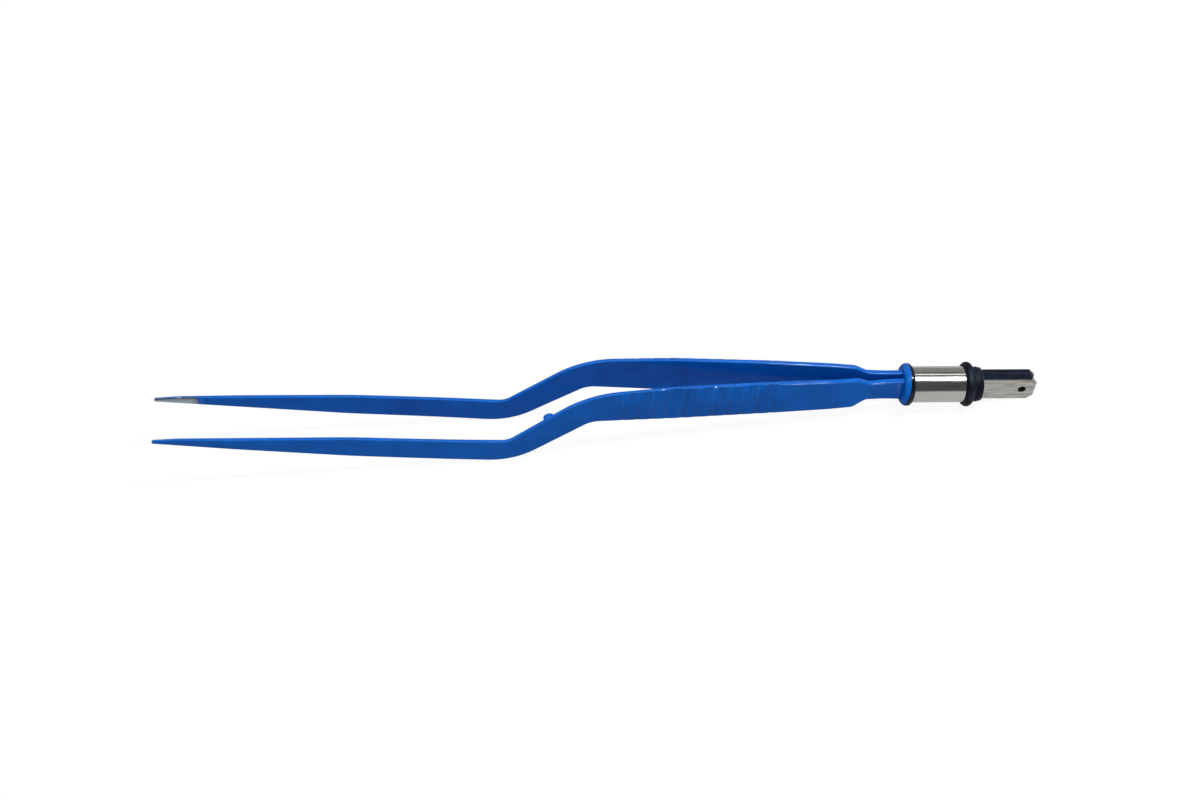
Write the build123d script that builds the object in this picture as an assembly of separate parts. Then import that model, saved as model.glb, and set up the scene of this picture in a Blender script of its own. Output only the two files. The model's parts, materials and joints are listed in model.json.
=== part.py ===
from build123d import *
from math import asin, atan2, cos, degrees, hypot, sin
import os

# Bayonet bipolar forceps with two coated spring arms and a flat two-contact plug.
# The model is drawn along the plug axis: X runs from the tips to the plug, Y across
# the arms, Z to the side that the grip is raised to. Lengths are in millimetres.

# Runs along the plug axis, from the tips backwards
shaft_run = 86.6
ramp_run = 18.7
grip_run = 68.2
shoulder_run = 3.0
neck_run = 9.1
flange_thickness = 2.4
sleeve_length = 13.4
barrel_reach = 4.9
contact_reach = 13.9

# Side view of an arm: levels of its top edge from the plug axis, and its heights there
tip_top = -11.2
tip_height = 0.95
tip_slope_run = 6.0
tip_slope_top = -10.75
shaft_middle = 48.0
shaft_middle_top = -10.85
shaft_middle_height = 6.35
lower_bend_top = -12.9
lower_bend_height = 7.1
lower_bend_skew = 1.9
upper_bend_top = 3.1
upper_bend_height = 9.2
upper_bend_skew = 1.6
grip_front_offset = 22.0
grip_front_top = 4.65
grip_front_height = 10.95
grip_middle_offset = 46.0
grip_middle_top = 4.85
grip_middle_height = 10.8
shoulder_top = 4.4
shoulder_height = 9.75
neck_front_top = 2.95
neck_front_height = 5.75
neck_height = 6.5

# Bend radii of the side view
tip_radius = 0.45
tip_slope_radius = 30.0
gentle_radius = 150.0
lower_bend_inner_radius = 4.0
lower_bend_outer_radius = 17.0
upper_bend_outer_radius = 24.0
upper_bend_inner_radius = 6.0
shoulder_radius = 1.8

# Plan view of an arm: the inner face bows out from the plug and then runs straight
tip_opening = 12.7
bow_start = 85.0
bow_radius = 900.0
elbow_offset = 6.1
elbow_half_gap = 2.05
elbow_radius = 90.0
root_setback = 4.2
root_half_gap = 0.7
root_radius = 30.0
tip_thickness = 0.82
tip_taper_run = 20.0
shaft_thickness = 1.12
elbow_thickness = 1.42
root_thickness = 1.5

# Coating, edges and grip grooves
coat = 0.2
edge_break = 0.24
bare_tip_length = 10.5
bare_end = 0.3
groove_count = 11
groove_pitch = 3.76
groove_start = 9.4
groove_radius = 2.4
groove_depth = 0.28

# Stop peg on the inner side of the left arm
peg_offset = 10.4
peg_height_from_axis = -9.0
peg_radius = 1.5
peg_stand = 3.8
peg_break = 0.35
shank_radius = 0.8

# Root of an arm inside the plug body
coat_tail = 2.25
tang_length = 7.1
tang_half_height = 2.4
mouth_clearance = 0.12
tang_clearance = 0.4

# Plug body, sleeve and collar
flange_radius = 5.4
flange_front_break = 0.75
flange_rim_step = 0.28
flange_rear_break = 0.35
flange_coat_reach = 1.85
sleeve_radius = 4.57
sleeve_wall = 0.5
sleeve_chamfer = 0.15
bead_radius = 5.66
bead_round = 1.1
small_bead_radius = 4.45
small_bead_round = 1.15
collar_wall = 0.2
barrel_end_break = 0.8
tongue_thickness = 3.2
tongue_half_height = 3.75
tongue_corner = 1.4
tongue_setback = 0.4
parting_depth = 0.35

# Contact tabs
contact_thickness = 0.8
contact_proud = 0.3
contact_half_height = 3.39
contact_root_half_height = 2.6
contact_step_setback = 1.5
contact_corner = 1.25
contact_bevel = 0.2
detent_radius = 1.03
detent_from_end = 3.45
detent_relief_radius = 1.6
detent_relief_depth = 0.7

# Stations that follow from the runs
ramp_start = shaft_run
grip_start = ramp_start + ramp_run
shoulder_start = grip_start + grip_run
neck_start = shoulder_start + shoulder_run
flange_face = neck_start + neck_run
sleeve_start = flange_face + flange_thickness
sleeve_end = sleeve_start + sleeve_length
barrel_end = sleeve_end + barrel_reach
contact_end = barrel_end + contact_reach
tongue_end = contact_end - tongue_setback
coat_end = flange_face + coat_tail
tang_end = coat_end + tang_length
tip_half_gap = tip_opening / 2
barrel_radius = sleeve_radius - sleeve_wall
root_outer = root_half_gap + root_thickness
tang_inner = root_half_gap + coat
tang_outer = root_outer - coat
contact_outer = tongue_thickness / 2 + contact_proud
contact_inner = contact_outer - contact_thickness
bead_centre = sleeve_end + bead_round


def block(x0, x1, y0, y1, z0, z1):
    """Box between two corners."""
    middle = Pos((x0 + x1) / 2, (y0 + y1) / 2, (z0 + z1) / 2)
    return middle * Box(abs(x1 - x0), abs(y1 - y0), abs(z1 - z0))


def shaft_below():
    """Point of the bottom edge half way along the shaft."""
    return shaft_middle, shaft_middle_top - shaft_middle_height


def lower_bend_below():
    """Corner of the bottom edge where the shaft turns up into the ramp."""
    return ramp_start + lower_bend_skew, lower_bend_top - lower_bend_height


def upper_bend_below():
    """Corner of the bottom edge where the ramp meets the grip."""
    return grip_start + upper_bend_skew, upper_bend_top - upper_bend_height


def side_outline():
    """Bayonet outline of an arm in side view, closed behind the flange face."""
    root_x = coat_end + 1.0
    grip_front = grip_start + grip_front_offset
    grip_middle = grip_start + grip_middle_offset
    corners = [
        ((0, tip_top), tip_radius),
        ((tip_slope_run, tip_slope_top), tip_slope_radius),
        ((shaft_middle, shaft_middle_top), gentle_radius),
        ((ramp_start, lower_bend_top), lower_bend_inner_radius),
        ((grip_start, upper_bend_top), upper_bend_outer_radius),
        ((grip_front, grip_front_top), gentle_radius),
        ((grip_middle, grip_middle_top), gentle_radius),
        ((shoulder_start, shoulder_top), shoulder_radius),
        ((neck_start, neck_front_top), shoulder_radius),
        ((flange_face, neck_height / 2), 0),
        ((root_x, neck_height / 2), 0),
        ((root_x, -neck_height / 2), 0),
        ((flange_face, -neck_height / 2), 0),
        ((neck_start, neck_front_top - neck_front_height), shoulder_radius),
        ((shoulder_start, shoulder_top - shoulder_height), shoulder_radius),
        ((grip_middle, grip_middle_top - grip_middle_height), gentle_radius),
        ((grip_front, grip_front_top - grip_front_height), gentle_radius),
        (upper_bend_below(), upper_bend_inner_radius),
        (lower_bend_below(), lower_bend_outer_radius),
        (shaft_below(), gentle_radius),
        ((0, tip_top - tip_height), tip_radius),
    ]
    points = [point for point, radius in corners]
    radii = [radius for point, radius in corners]
    return make_face(FilletPolyline(*points, radius=radii, close=True))


def plan_outline():
    """Bowed strip of the right arm in plan view, inner face first."""
    root_x = coat_end + 1.0
    elbow_x = shoulder_start - elbow_offset
    bend_x = flange_face - root_setback
    corners = [
        ((0, tip_half_gap), 0),
        ((bow_start, tip_half_gap), bow_radius),
        ((elbow_x, elbow_half_gap), elbow_radius),
        ((bend_x, root_half_gap), root_radius),
        ((root_x, root_half_gap), 0),
        ((root_x, root_outer), 0),
        ((bend_x, root_outer), root_radius),
        ((elbow_x, elbow_half_gap + elbow_thickness), elbow_radius),
        ((bow_start, tip_half_gap + shaft_thickness), bow_radius),
        ((tip_taper_run, tip_half_gap + shaft_thickness), gentle_radius),
        ((0, tip_half_gap + tip_thickness), 0),
    ]
    points = [point for point, radius in corners]
    radii = [radius for point, radius in corners]
    return make_face(FilletPolyline(*points, radius=radii, close=True))


def arm_form(inset):
    """Right arm as side outline and plan strip cut from one blank, shrunk by inset."""
    side = side_outline()
    plan = plan_outline()
    if inset > 0:
        side = offset(side, -inset)
        plan = offset(plan, -inset)
    reach = 40
    side_prism = extrude(Plane.XZ * side, amount=reach, both=True)
    plan_prism = extrude(plan, amount=reach, both=True)
    return side_prism & plan_prism & block(-1, coat_end, -reach, reach, -reach, reach)


def runs_along_arm(edge):
    """True for the long corner edges and those that turn round the tip."""
    middle = edge @ 0.5
    heading = edge % 0.5
    if abs(heading.Y) > 0.5:
        return False
    return abs(heading.X) > 0.3 or middle.X < tip_radius + 0.1


def outer_face_at(x):
    """Distance of the grip's outer face from the mid-plane."""
    elbow_x = shoulder_start - elbow_offset
    share = (x - bow_start) / (elbow_x - bow_start)
    front = tip_half_gap + shaft_thickness
    rear = elbow_half_gap + elbow_thickness
    return front + share * (rear - front)


def grip_grooves(extra):
    """Shallow round grooves across the outer face of the grip."""
    cutters = []
    for index in range(groove_count):
        x = grip_start + groove_start + index * groove_pitch
        y = outer_face_at(x) + groove_radius - groove_depth
        cutters.append(Pos(x, y, 0) * Cylinder(groove_radius + extra, 30))
    return cutters


def arm_skin():
    """Outside form of the coated right arm, with broken edges and grip grooves."""
    form = arm_form(0)
    form = chamfer(form.edges().filter_by(runs_along_arm), edge_break)
    return form - grip_grooves(0)


def arm_steel(skin):
    """Steel of the right arm: the core under the coating, the bare pad and the tang."""
    core = arm_form(coat) - grip_grooves(coat)
    pad = skin & block(-1, bare_tip_length, 0, tip_half_gap + coat + 0.05, -40, 40)
    end = skin & block(-1, bare_end, 0, 2 * tip_half_gap, -40, 40)
    tang = block(coat_end - 1, tang_end, tang_inner, tang_outer, -tang_half_height, tang_half_height)
    return core + pad + end + tang


def inner_face_at_peg():
    """Half gap between the arms where the stop peg stands."""
    elbow_x = shoulder_start - elbow_offset
    share = (ramp_start + peg_offset - bow_start) / (elbow_x - bow_start)
    return tip_half_gap + share * (elbow_half_gap - tip_half_gap)


def peg_rod(radius, start, end):
    """Rod across the left arm on the peg's axis."""
    place = Pos(ramp_start + peg_offset, (start + end) / 2, peg_height_from_axis)
    return place * Rot(90, 0, 0) * Cylinder(radius, end - start)


def stop_peg():
    """Steel stop peg: a head on the inner side and a shank through the blade."""
    face = -inner_face_at_peg()
    head = peg_rod(peg_radius - coat, face - coat, face + peg_stand - coat)
    shank = peg_rod(shank_radius, face - shaft_thickness + coat, face)
    return head + shank


def peg_skin():
    """Outside form of the coating over the stop peg."""
    face = -inner_face_at_peg()
    rod = peg_rod(peg_radius, face - coat - 0.1, face + peg_stand)
    return chamfer(rod.edges().sort_by(Axis.Y)[-1], peg_break)


def arm_passages():
    """Mouths and inner slots of the plug body that the two arms go into."""
    passages = []
    for side in (-1, 1):
        mouth = block(
            flange_face - 1,
            coat_end + mouth_clearance,
            side * (root_half_gap - mouth_clearance),
            side * (root_outer + mouth_clearance),
            -neck_height / 2 - mouth_clearance,
            neck_height / 2 + mouth_clearance,
        )
        slot = block(
            coat_end,
            tang_end + tang_clearance,
            side * (tang_inner - tang_clearance),
            side * (tang_outer + tang_clearance),
            -tang_half_height - tang_clearance / 2,
            tang_half_height + tang_clearance / 2,
        )
        passages.append(mouth)
        passages.append(slot)
    return passages


def turned(points, radii):
    """Solid turned round the plug axis from a closed profile of x and radius."""
    profile = make_face(FilletPolyline(*points, radius=radii, close=True))
    return revolve(Plane.XZ * profile, Axis.X)


def flange_skin():
    """Outside form of the front flange, its front rim broken in three steps."""
    disc = Pos(flange_face + flange_thickness / 2, 0, 0) * Rot(0, 90, 0)
    disc = disc * Cylinder(flange_radius, flange_thickness)
    disc = chamfer(disc.edges().sort_by(Axis.X)[0], flange_front_break)
    rims = disc.edges().filter_by(GeomType.CIRCLE).sort_by(Axis.X)[:2]
    return chamfer(rims, flange_rim_step)


def flange_core():
    """Black flange under the coating, with both rims broken."""
    front = flange_face + coat
    rim = flange_radius - coat
    points = [
        (front, 0),
        (front, flange_radius - flange_front_break),
        (flange_face + flange_front_break, rim),
        (sleeve_start - flange_rear_break, rim),
        (sleeve_start, rim - flange_rear_break),
        (sleeve_start, 0),
    ]
    return revolve(Plane.XZ * make_face(Polyline(*points, close=True)), Axis.X)


def tongue():
    """Flat tongue between the contacts, with a parting line round its rim."""
    start = sleeve_end
    middle = (start + tongue_end) / 2
    half = tongue_half_height
    blade = block(start, tongue_end, -tongue_thickness / 2, tongue_thickness / 2, -half, half)
    blade = chamfer(blade.edges().filter_by(Axis.Y).group_by(Axis.X)[-1], tongue_corner)
    line = Box(tongue_end - start + 10, parting_depth * 2**0.5, parting_depth * 2**0.5)
    for height in (-half, half):
        blade -= Pos(middle, 0, height) * Rot(45, 0, 0) * line
    blade -= Pos(tongue_end, 0, 0) * Rot(0, 90, 0) * Rot(45, 0, 0) * line
    return blade


def detent(side, radius, start, end):
    """Round cutter through a contact's detent hole on one side, between two distances."""
    place = Pos(contact_end - detent_from_end, side * (start + end) / 2, 0)
    return place * Rot(90, 0, 0) * Cylinder(radius, end - start)


def contact():
    """Right contact tab: a flat plate with a detent hole and a narrow root."""
    root_x = tang_end + tang_clearance
    step_x = barrel_end - contact_step_setback
    half = contact_half_height
    tab = block(step_x, contact_end, contact_inner, contact_outer, -half, half)
    tab = chamfer(tab.edges().filter_by(Axis.Y).group_by(Axis.X)[-1], contact_corner)
    rear_edges = tab.faces().sort_by(Axis.Y)[-1].edges().sort_by(Axis.X)[-3:]
    tab = chamfer(rear_edges, contact_bevel)
    half = contact_root_half_height
    root = block(root_x, step_x + 1, contact_inner, contact_outer, -half, half)
    return tab + root - detent(1, detent_radius, contact_inner - 0.1, contact_outer + 0.1)


def detent_reliefs():
    """Wider hollows of the tongue behind the detent holes, open through the holes."""
    hollows = []
    for side in (-1, 1):
        hollows.append(detent(side, detent_radius, contact_inner - 0.1, contact_outer))
        hollows.append(
            detent(side, detent_relief_radius, contact_inner - detent_relief_depth, contact_inner)
        )
    return hollows


def plug_body(contacts):
    """Black body: flange, barrel and tongue in one, with seats for arms and contacts."""
    barrel = Pos((sleeve_start + barrel_end) / 2, 0, 0) * Rot(0, 90, 0)
    barrel = barrel * Cylinder(barrel_radius, barrel_end - sleeve_start)
    barrel = chamfer(barrel.edges().sort_by(Axis.X)[-1], barrel_end_break)
    return flange_core() + barrel + tongue() - arm_passages() - contacts - detent_reliefs()


def flange_coating(body):
    """Blue skin over the front of the flange."""
    band = flange_skin() & block(0, flange_face + flange_coat_reach, -20, 20, -20, 20)
    return band - flange_core() - arm_passages() - body


def steel_sleeve():
    """Bright tube round the barrel."""
    points = [
        (sleeve_start, barrel_radius),
        (sleeve_start, sleeve_radius),
        (sleeve_end, sleeve_radius),
        (sleeve_end, barrel_radius),
    ]
    tube = turned(points, [0, 0, 0, 0])
    rims = tube.edges().filter_by(GeomType.CIRCLE).sort_by(SortBy.RADIUS)[-2:]
    return chamfer(rims, sleeve_chamfer)


def ring_of(outer_radius, half_width):
    """Twelve-sided section of a bead whose crest has this radius, at the plug axis start."""
    section = RegularPolygon(half_width, 12, major_radius=False, rotation=15)
    return Pos(0, outer_radius - half_width) * section


def rear_collar():
    """Black ring with a large and a small bead."""
    small_centre = bead_centre + bead_round + small_bead_round
    collar_end = small_centre + small_bead_round
    length = collar_end - sleeve_end
    band = Pos(sleeve_end + length / 2, barrel_radius + collar_wall / 2)
    bead = Pos(bead_centre, 0) * ring_of(bead_radius, bead_round)
    small = Pos(small_centre, 0) * ring_of(small_bead_radius, small_bead_round)
    bore = Pos(bead_centre, barrel_radius / 2) * Rectangle(40, barrel_radius)
    profile = band * Rectangle(length, collar_wall) + bead + small - bore
    return revolve(Plane.XZ * profile, Axis.X)


def rest_pitch():
    """Angle that lowers the plug until the arm bends and the collar share one level."""
    shaft_x, shaft_z = shaft_below()
    lower_x, lower_z = lower_bend_below()
    upper_x, upper_z = upper_bend_below()
    shaft_fall = atan2(lower_z - shaft_z, lower_x - shaft_x)
    ramp_rise = atan2(upper_z - lower_z, upper_x - lower_x)
    half_turn = (ramp_rise - shaft_fall) / 2
    facing = (ramp_rise + shaft_fall) / 2
    reach = lower_bend_outer_radius / cos(half_turn)
    bend_x = lower_x - reach * sin(facing)
    bend_z = lower_z + reach * cos(facing)
    run = bead_centre - bend_x
    rise = bead_round - bead_radius - bend_z
    span = hypot(run, rise)
    lean = asin((lower_bend_outer_radius - bead_round) / span)
    return degrees(atan2(rise, run) + lean)


def make_pieces():
    """All pieces along the plug axis, by name."""
    skin = arm_skin()
    steel = arm_steel(skin)
    peg = stop_peg()
    right_contact = contact()
    left_contact = mirror(right_contact, about=Plane.XZ)
    left_steel = mirror(steel, about=Plane.XZ) - peg
    left_skin = mirror(skin, about=Plane.XZ) + peg_skin()
    body = plug_body([left_contact, right_contact])
    return {
        "left_blade": left_steel,
        "left_coating": left_skin - left_steel - peg,
        "stop_peg": peg,
        "right_blade": steel,
        "right_coating": skin - steel,
        "plug_body": body,
        "flange_coating": flange_coating(body),
        "steel_sleeve": steel_sleeve(),
        "rear_collar": rear_collar(),
        "left_contact": left_contact,
        "right_contact": right_contact,
    }


def rest_place(pieces):
    """Placement that turns the pieces to the rest stance and centres them over the table."""
    turn = Rot(0, rest_pitch(), 0)
    boxes = [(turn * piece).bounding_box() for piece in pieces.values()]
    low_x = min(box.min.X for box in boxes)
    high_x = max(box.max.X for box in boxes)
    low_z = min(box.min.Z for box in boxes)
    return Pos(-(low_x + high_x) / 2, 0, -low_z) * turn


pieces = make_pieces()
place = rest_place(pieces)
os.makedirs("parts", exist_ok=True)
for node, piece in pieces.items():
    export_step(place * piece, f"parts/{node}.step")
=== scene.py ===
import json
import math

import bpy
from mathutils import Matrix, Vector


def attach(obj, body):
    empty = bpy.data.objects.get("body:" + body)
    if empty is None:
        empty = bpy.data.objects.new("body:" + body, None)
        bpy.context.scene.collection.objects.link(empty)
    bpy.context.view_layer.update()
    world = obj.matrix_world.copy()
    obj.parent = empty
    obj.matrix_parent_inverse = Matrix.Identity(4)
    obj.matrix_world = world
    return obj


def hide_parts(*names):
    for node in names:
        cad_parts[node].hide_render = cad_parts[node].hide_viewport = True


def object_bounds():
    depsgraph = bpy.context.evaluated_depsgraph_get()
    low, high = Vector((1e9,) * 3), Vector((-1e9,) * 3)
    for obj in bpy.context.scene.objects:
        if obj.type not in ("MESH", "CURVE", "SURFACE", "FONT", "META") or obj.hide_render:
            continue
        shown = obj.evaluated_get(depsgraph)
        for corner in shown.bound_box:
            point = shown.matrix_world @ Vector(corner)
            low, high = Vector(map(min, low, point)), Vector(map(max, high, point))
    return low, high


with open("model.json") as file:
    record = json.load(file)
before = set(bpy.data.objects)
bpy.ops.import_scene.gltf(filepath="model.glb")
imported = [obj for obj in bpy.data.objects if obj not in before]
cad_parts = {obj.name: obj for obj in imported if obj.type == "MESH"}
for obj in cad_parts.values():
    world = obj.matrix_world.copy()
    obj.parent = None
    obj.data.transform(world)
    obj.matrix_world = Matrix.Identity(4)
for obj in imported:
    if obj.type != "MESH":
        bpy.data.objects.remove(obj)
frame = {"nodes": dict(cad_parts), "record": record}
cad_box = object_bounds()

# Camera: the point it looks at, its distance and its angles round the forceps
aim_point = Vector((-0.00105, -0.00737, 0.02))
camera_distance = 0.4973
camera_azimuth = -3.90
camera_elevation = 49.40
camera_roll = -1.84
lens_length = 61.29
sensor_width = 36.0

# Lamps over the table, by their angle round the plug axis from the front horizon
lamp_reach = 1.6
lamp_distance = 0.9
softbox_angles = (71, 97)
softbox_radiance = 1.3
softbox_reach = 2.0
softbox_side = -0.4
strip_angles = (111, 118)
strip_radiance = 1.5
glint_angles = (81.4, 83.6)
glint_radiance = 300.0
glint_distance = 0.88
glint_reach = 0.15
glint_side = 0.385

# Room: what the camera sees, its light on everything, and its front and back in the gloss
room_white = 1.0
room_fill = 0.36
room_side = -0.25
room_front = 0.06
room_back = 0.24

# Table: its colour, its level to the camera and in the gloss, the dark card in front of
# the forceps, and the bright place in front of the bare tip
floor_colour = (0.55, 0.55, 0.545, 1)
floor_white = 1.09
floor_glow = 0.85
floor_glow_in_gloss = 0.9
floor_in_gloss = 0.5
card_in_gloss = 0.08
card_end = 0.0765
tip_light_end = -0.1015
tip_light_front = -0.0125
floor_half_side = 3.0

# Places along the arms, in metres from the tips
coat_edge = 0.0105
heat_band = 0.0016
tip_x = cad_box[0].x

# Plug axis, and where the blue coating ends on the flange, in metres before the plug's end
plug = next(mount for mount in frame["record"]["mounts"] if mount["name"] == "cable_plug")
plug_end = Vector(plug["pos_m"])
plug_axis = Vector(plug["axis"])
flange_coat_edge = 0.0345
# The black reaches further forward the lower it lies on the flange.
flange_black_reach_by_height = -0.114
flange_coat_drip = 0.0003

# Edges: how far the shading rounds them, what is merged, and the angle that stays smooth
edge_radius = 0.00035
edge_samples = 8
merge_distance = 0.000002
flat_below = 0.2
body_smooth_below = 50
metal_smooth_below = 30


class Signal:
    """A value that varies over a surface, for plain arithmetic."""

    def __init__(self, bench, socket):
        self.bench = bench
        self.socket = socket

    def with_other(self, operation, first, second):
        return self.bench.node("ShaderNodeMath", {"operation": operation}, {0: first, 1: second})

    def __add__(self, other):
        return self.with_other("ADD", self, other)

    def __radd__(self, other):
        return self.with_other("ADD", other, self)

    def __sub__(self, other):
        return self.with_other("SUBTRACT", self, other)

    def __rsub__(self, other):
        return self.with_other("SUBTRACT", other, self)

    def __mul__(self, other):
        return self.with_other("MULTIPLY", self, other)

    def __gt__(self, other):
        return self.with_other("GREATER_THAN", self, other)

    def __lt__(self, other):
        return self.with_other("LESS_THAN", self, other)


class Bench:
    """Adds nodes to one node tree."""

    def __init__(self, tree):
        self.tree = tree

    def feed(self, socket, value):
        if isinstance(value, Signal):
            self.tree.links.new(value.socket, socket)
        else:
            socket.default_value = value

    def node(self, kind, settings=None, sockets=None, output=0):
        made = self.tree.nodes.new(kind)
        for name, value in (settings or {}).items():
            if name == "stops":
                self.set_stops(made.color_ramp, value)
            else:
                setattr(made, name, value)
        for name, value in (sockets or {}).items():
            self.feed(made.inputs[name], value)
        return Signal(self, made.outputs[output])

    def set_stops(self, ramp, stops):
        while len(ramp.elements) < len(stops):
            ramp.elements.new(0.5)
        for element, (position, colour) in zip(ramp.elements, stops):
            element.position = position
            element.color = colour


class Finish(Bench):
    """One procedural material."""

    def __init__(self, name):
        self.material = bpy.data.materials.new(name)
        self.material.use_nodes = True
        super().__init__(self.material.node_tree)
        self.shader = self.tree.nodes["Principled BSDF"]
        self.place = self.node("ShaderNodeTexCoord", output="Object")

    def surface(self, sockets):
        for name, value in sockets.items():
            self.feed(self.shader.inputs[name], value)

    def grain(self, scale, detail=3.0, stretch=(1, 1, 1), roughness=0.5):
        """Noise between 0 and 1 that can be drawn out along an axis."""
        placed = self.node(
            "ShaderNodeMapping",
            {"vector_type": "POINT"},
            {"Vector": self.place, "Scale": stretch},
        )
        sockets = {"Vector": placed, "Scale": scale, "Detail": detail, "Roughness": roughness}
        return self.node("ShaderNodeTexNoise", {}, sockets)

    def spread(self, signal, low, high, floor=0.0, ceiling=1.0):
        """Maps a signal's range from low to high onto floor to ceiling."""
        sockets = {
            "Value": signal,
            "From Min": low,
            "From Max": high,
            "To Min": floor,
            "To Max": ceiling,
        }
        return self.node("ShaderNodeMapRange", {"clamp": True}, sockets)

    def mix(self, share, first, second):
        """Colour between two colours."""
        sockets = {"Factor": share, 6: first, 7: second}
        return self.node("ShaderNodeMix", {"data_type": "RGBA"}, sockets, output=2)

    def relief(self, height, depth, strength=1.0):
        """Normal of a surface raised by a signal, at most depth metres."""
        sockets = {"Height": height, "Distance": depth, "Strength": strength}
        return self.node("ShaderNodeBump", {}, sockets)

    def along(self, axis):
        """Place along one axis, in metres."""
        return self.node("ShaderNodeSeparateXYZ", {}, {0: self.place}, output=axis)

    def before_plug_end(self):
        """Place along the plug axis, in metres, below zero before the plug's end."""
        offset = self.node(
            "ShaderNodeVectorMath", {"operation": "SUBTRACT"}, {0: self.place, 1: plug_end}
        )
        operation = {"operation": "DOT_PRODUCT"}
        sockets = {0: offset, 1: plug_axis}
        return self.node("ShaderNodeVectorMath", operation, sockets, output="Value")


def linear(red, green, blue):
    """Colour from screen values between 0 and 255."""
    values = []
    for level in (red, green, blue):
        level = level / 255
        values.append(level / 12.92 if level <= 0.04045 else ((level + 0.055) / 1.055) ** 2.4)
    return (*values, 1)


def grey(level):
    """Opaque grey of one level."""
    return (level, level, level, 1)


def blue_nylon(name, ends_on_flange=False):
    """Glossy blue coating with a faint orange peel and a slightly uneven depth of colour."""
    finish = Finish(name)
    cloud = finish.grain(130, detail=2)
    peel = finish.grain(1500, detail=2)
    speck = finish.grain(5200, detail=1)
    colour = finish.mix(
        finish.spread(cloud, 0.35, 0.65),
        linear(1, 95, 193),
        linear(3, 105, 208),
    )
    if ends_on_flange:
        drip = finish.grain(260, detail=2) * flange_coat_drip
        # Black on the flange reaches further forward towards the bottom, with a ragged edge.
        edge = flange_coat_edge + finish.along(2) * flange_black_reach_by_height + drip
        bare = finish.spread(finish.before_plug_end() + edge, -0.0001, 0.0001)
        colour = finish.mix(bare, colour, linear(9, 14, 24))
    roughness = finish.spread(peel, 0.3, 0.7, 0.07, 0.12)
    relief = finish.relief(peel + speck * 0.35, 0.000012, 0.6)
    soft_edge = {"Radius": edge_radius, "Normal": relief}
    rounded = finish.node("ShaderNodeBevel", {"samples": edge_samples}, soft_edge)
    finish.surface(
        {
            "Base Color": colour,
            "Roughness": roughness,
            "Normal": rounded,
            "Specular IOR Level": 0.5,
        }
    )
    return finish.material


def blade_steel():
    """Satin steel, brushed along the arm, tinted brown by heat where the coating ends."""
    finish = Finish("satin blade steel")
    brushed = finish.grain(900, detail=3, stretch=(0.06, 1, 1))
    cloud = finish.grain(500, detail=3)
    from_edge = finish.along(0) - (tip_x + coat_edge)
    band = finish.spread(from_edge, -heat_band, -0.0002)
    ragged = band * finish.spread(cloud, 0.35, 0.6)
    bright = finish.mix(brushed, linear(176, 190, 208), linear(226, 235, 245))
    colour = finish.mix(ragged * 0.45, bright, linear(122, 92, 62))
    roughness = finish.spread(brushed, 0.3, 0.7, 0.24, 0.42)
    finish.surface(
        {
            "Base Color": colour,
            "Metallic": 1.0,
            "Roughness": roughness,
            "Normal": finish.relief(brushed, 0.000008, 0.5),
        }
    )
    return finish.material


def moulded_plastic():
    """Black moulded plastic with a fine matt skin."""
    finish = Finish("black moulded plastic")
    skin = finish.grain(4200, detail=2)
    cloud = finish.grain(260, detail=3)
    colour = finish.mix(finish.spread(cloud, 0.35, 0.7), linear(6, 14, 28), linear(20, 34, 54))
    finish.surface(
        {
            "Base Color": colour,
            "Roughness": finish.spread(skin, 0.3, 0.7, 0.42, 0.56),
            "Normal": finish.relief(skin, 0.00002, 0.6),
            "Specular IOR Level": 0.16,
        }
    )
    return finish.material


def collar_plastic():
    """Navy black collar with lighter streaks across the beads, which are a painted highlight."""
    finish = Finish("navy black collar")
    sheen_and_bump_streak = finish.grain(420, detail=4, stretch=(1, 0.35, 0.35), roughness=0.65)
    skin = finish.grain(3600, detail=2)
    # Painted highlight: the lighter navy in the streaks stands in for highlights on the beads.
    colour = finish.mix(finish.spread(sheen_and_bump_streak, 0.45, 0.8), linear(8, 17, 30), linear(60, 74, 94))
    finish.surface(
        {
            "Base Color": colour,
            "Roughness": finish.spread(skin, 0.3, 0.7, 0.44, 0.6),
            "Normal": finish.relief(sheen_and_bump_streak + skin * 0.4, 0.00003, 0.5),
            "Specular IOR Level": 0.18,
        }
    )
    return finish.material


def sleeve_steel():
    """Drawn steel tube, polished, with faint lines along it."""
    finish = Finish("polished tube steel")
    drawn = finish.grain(1600, detail=3, stretch=(0.03, 1, 1))
    cloud = finish.grain(300, detail=2)
    colour = finish.mix(drawn, linear(210, 209, 203), linear(238, 237, 231))
    finish.surface(
        {
            "Base Color": colour,
            "Metallic": 1.0,
            "Roughness": finish.spread(drawn + cloud * 0.4, 0.4, 1.0, 0.1, 0.2),
            "Normal": finish.relief(drawn, 0.000004, 0.4),
        }
    )
    return finish.material


def contact_steel():
    """Flat contact steel, brushed and lightly scratched by the socket."""
    finish = Finish("brushed contact steel")
    brushed = finish.grain(1500, detail=4, stretch=(0.12, 1, 1), roughness=0.6)
    scuffed = finish.grain(900, detail=5, stretch=(1, 1, 0.4), roughness=0.7)
    marks = finish.spread(scuffed, 0.58, 0.72)
    streaks = finish.spread(brushed, 0.3, 0.7)
    bright = finish.mix(streaks, linear(176, 173, 164), linear(246, 244, 236))
    colour = finish.mix(marks * 0.5, bright, linear(120, 117, 112))
    finish.surface(
        {
            "Base Color": colour,
            "Metallic": 1.0,
            "Roughness": finish.spread(brushed + marks * 0.4, 0.3, 1.0, 0.34, 0.52),
            "Normal": finish.relief(brushed + marks, 0.000012, 0.5),
        }
    )
    return finish.material


def only_select(piece):
    """Selects one object and makes it the active one."""
    bpy.ops.object.select_all(action="DESELECT")
    piece.select_set(True)
    bpy.context.view_layer.objects.active = piece


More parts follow.
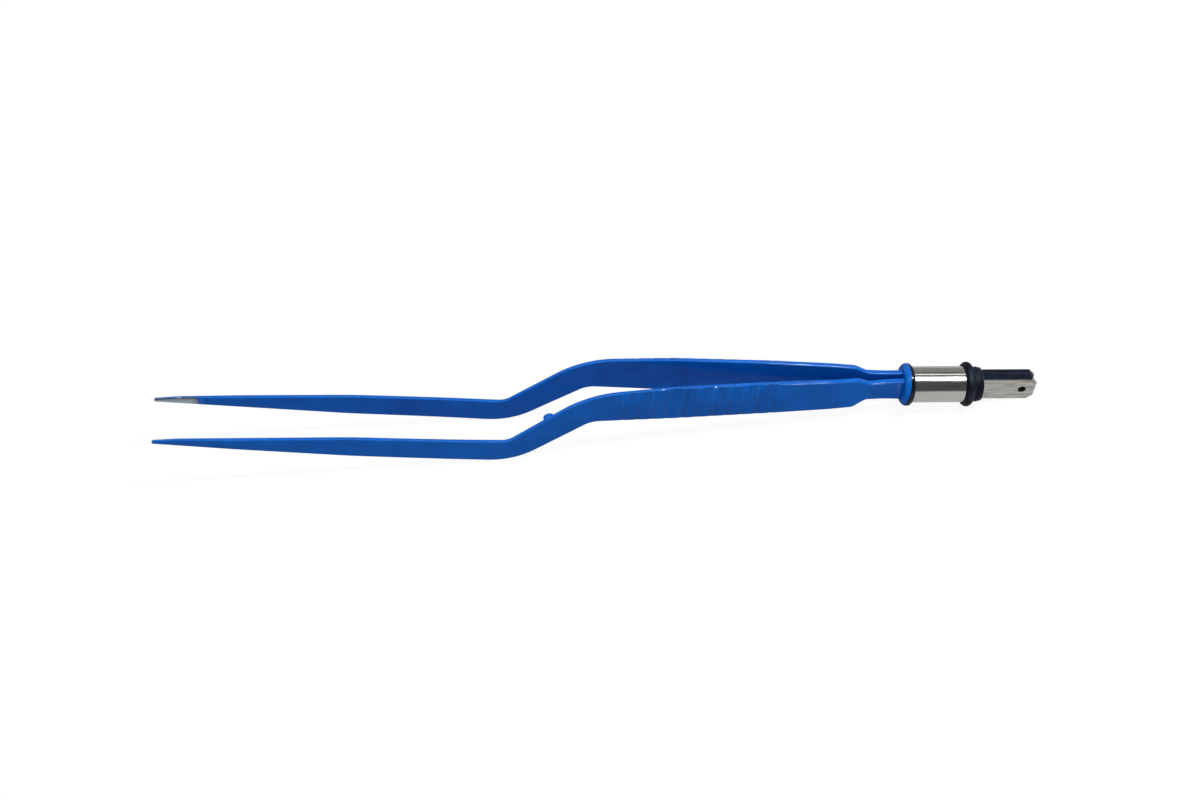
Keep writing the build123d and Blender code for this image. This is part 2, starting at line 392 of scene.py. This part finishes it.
def finished(node, name, body, material, smooth_below=body_smooth_below):
    """Merged copy of a node whose narrow edge breaks shade as rounded edges."""
    only_select(frame["nodes"][node])
    bpy.ops.object.duplicate()
    piece = bpy.context.active_object
    piece.name = name
    bpy.ops.object.mode_set(mode="EDIT")
    bpy.ops.mesh.select_all(action="SELECT")
    bpy.ops.mesh.remove_doubles(threshold=merge_distance)
    bpy.ops.mesh.dissolve_limited(angle_limit=math.radians(flat_below))
    bpy.ops.object.mode_set(mode="OBJECT")
    bpy.ops.mesh.customdata_custom_splitnormals_clear()
    bpy.ops.object.shade_smooth_by_angle(angle=math.radians(smooth_below))
    even = piece.modifiers.new("even shading", "WEIGHTED_NORMAL")
    even.keep_sharp = True
    even.weight = 80
    bpy.ops.object.modifier_apply(modifier=even.name)
    piece.data.materials.clear()
    piece.data.materials.append(material)
    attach(piece, body)
    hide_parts(node)
    return piece


def dress_forceps():
    """All pieces of the forceps in their finishes."""
    blue = blue_nylon("blue nylon coating")
    flange_blue = blue_nylon("blue nylon on the flange", ends_on_flange=True)
    steel = blade_steel()
    contacts = contact_steel()
    finished("left_coating", "left_arm_coating", "left_arm", blue)
    finished("right_coating", "right_arm_coating", "right_arm", blue)
    finished("flange_coating", "flange_skin", "plug", flange_blue)
    finished("left_blade", "left_arm_blade", "left_arm", steel)
    finished("right_blade", "right_arm_blade", "right_arm", steel)
    finished("stop_peg", "stop_pin", "left_arm", steel)
    finished("plug_body", "moulded_plug", "plug", moulded_plastic())
    finished("rear_collar", "beaded_collar", "plug", collar_plastic())
    sharper = metal_smooth_below
    finished("steel_sleeve", "tube_sleeve", "plug", sleeve_steel(), sharper)
    finished("left_contact", "left_tab", "plug", contacts, sharper)
    finished("right_contact", "right_tab", "plug", contacts, sharper)


def lamp_from_front(name, angles, radiance, distance=lamp_distance, reach=lamp_reach, side=0.0):
    """Lamp over the forceps that fills a range of angles seen from it."""
    low, high = (math.radians(angle) for angle in angles)
    middle = (low + high) / 2
    away = Vector((0, -math.cos(middle), math.sin(middle)))
    width = 2 * distance * math.tan((high - low) / 2)
    light = bpy.data.lights.new(name, "AREA")
    light.shape = "RECTANGLE"
    light.size = reach
    light.size_y = width
    light.energy = radiance * math.pi * reach * width
    lamp = bpy.data.objects.new(name, light)
    lamp.location = away * distance + Vector((side, 0, 0))
    bpy.context.collection.objects.link(lamp)
    turn = Matrix((Vector((1, 0, 0)), away.cross(Vector((1, 0, 0))), away)).transposed()
    lamp.rotation_euler = turn.to_euler()


def studio_room():
    """World that is white to the camera and a room with a dim front to the gloss."""
    world = bpy.data.worlds.new("studio room")
    bpy.context.scene.world = world
    world.use_nodes = True
    bench = Bench(world.node_tree)
    direction = bench.node("ShaderNodeTexCoord", output="Generated")
    back = bench.node("ShaderNodeSeparateXYZ", {}, {0: direction}, output=1)
    height = bench.node("ShaderNodeSeparateXYZ", {}, {0: direction}, output=2)
    angle = bench.node("ShaderNodeMath", {"operation": "ARCTAN2"}, {0: height, 1: 0 - back})
    share = angle * (1 / math.pi)
    stops = [
        (0.0, (room_front * 1.3, room_front * 1.3, room_front * 1.35, 1)),
        (0.36, grey(room_front)),
        (0.56, grey(room_front * 0.6)),
        (0.69, grey(room_front * 0.6)),
        (0.75, grey(room_back)),
        (1.0, grey(room_back * 1.2)),
    ]
    seen_in_gloss = bench.node("ShaderNodeValToRGB", {"stops": stops}, {0: share})
    camera = bench.node("ShaderNodeLightPath", output="Is Camera Ray")
    gloss = bench.node("ShaderNodeLightPath", output="Is Glossy Ray")
    across = bench.node("ShaderNodeSeparateXYZ", {}, {0: direction})
    level = room_fill + across * room_side
    fill = bench.node("ShaderNodeCombineColor", {}, {0: level, 1: level, 2: level})
    sockets = {"Factor": gloss, 6: fill, 7: seen_in_gloss}
    other = bench.node("ShaderNodeMix", {"data_type": "RGBA"}, sockets, output=2)
    sockets = {"Factor": camera, 6: other, 7: grey(room_white)}
    colour = bench.node("ShaderNodeMix", {"data_type": "RGBA"}, sockets, output=2)
    background = world.node_tree.nodes["Background"]
    bench.feed(background.inputs["Color"], colour)
    background.inputs["Strength"].default_value = 1.0


def table():
    """Pale table that keeps a soft shadow."""
    bpy.ops.object.select_all(action="DESELECT")
    bpy.ops.mesh.primitive_plane_add(size=2 * floor_half_side, location=(0, 0, 0))
    floor = bpy.context.active_object
    floor.name = "pale table"
    finish = Finish("pale table")
    camera = finish.node("ShaderNodeLightPath", output="Is Camera Ray")
    gloss = finish.node("ShaderNodeLightPath", output="Is Glossy Ray")
    across = finish.along(0)
    tip_light = (across < tip_light_end) * (finish.along(1) > tip_light_front)
    card = (across < card_end) * (1 - tip_light)
    level = floor_in_gloss - card * (floor_in_gloss - card_in_gloss)
    shade = finish.node("ShaderNodeCombineColor", {}, {0: level, 1: level, 2: level})
    colour = finish.mix(camera, shade, grey(floor_white))
    glow = finish.node("ShaderNodeEmission", {}, {"Color": colour, "Strength": 1.0})
    share = camera * floor_glow + gloss * floor_glow_in_gloss
    finish.surface({"Base Color": floor_colour, "Roughness": 0.9, "Specular IOR Level": 0.1})
    sockets = {0: share, 1: Signal(finish, finish.shader.outputs[0]), 2: glow}
    mixed = finish.node("ShaderNodeMixShader", {}, sockets)
    output = finish.tree.nodes["Material Output"]
    finish.feed(output.inputs["Surface"], mixed)
    floor.data.materials.append(finish.material)


def photo_camera():
    """Camera at the photograph's view."""
    azimuth = math.radians(camera_azimuth)
    elevation = math.radians(camera_elevation)
    towards = Vector(
        (
            math.sin(azimuth) * math.cos(elevation),
            -math.cos(azimuth) * math.cos(elevation),
            math.sin(elevation),
        )
    )
    data = bpy.data.cameras.new("photo camera")
    data.lens = lens_length
    data.sensor_width = sensor_width
    data.dof.use_dof = False
    camera = bpy.data.objects.new("photo camera", data)
    level = towards.to_track_quat("Z", "Y").to_matrix()
    camera.rotation_euler = (level @ Matrix.Rotation(math.radians(camera_roll), 3, "Z")).to_euler()
    camera.location = aim_point + towards * camera_distance
    bpy.context.collection.objects.link(camera)
    bpy.context.scene.camera = camera


dress_forceps()
table()
studio_room()
lamp_from_front(
    "overhead softbox", softbox_angles, softbox_radiance, lamp_distance, softbox_reach, softbox_side
)
lamp_from_front("rear strip", strip_angles, strip_radiance)
lamp_from_front(
    "glint lamp", glint_angles, glint_radiance, glint_distance, glint_reach, glint_side
)
photo_camera()
bpy.context.scene.view_settings.view_transform = "Standard"
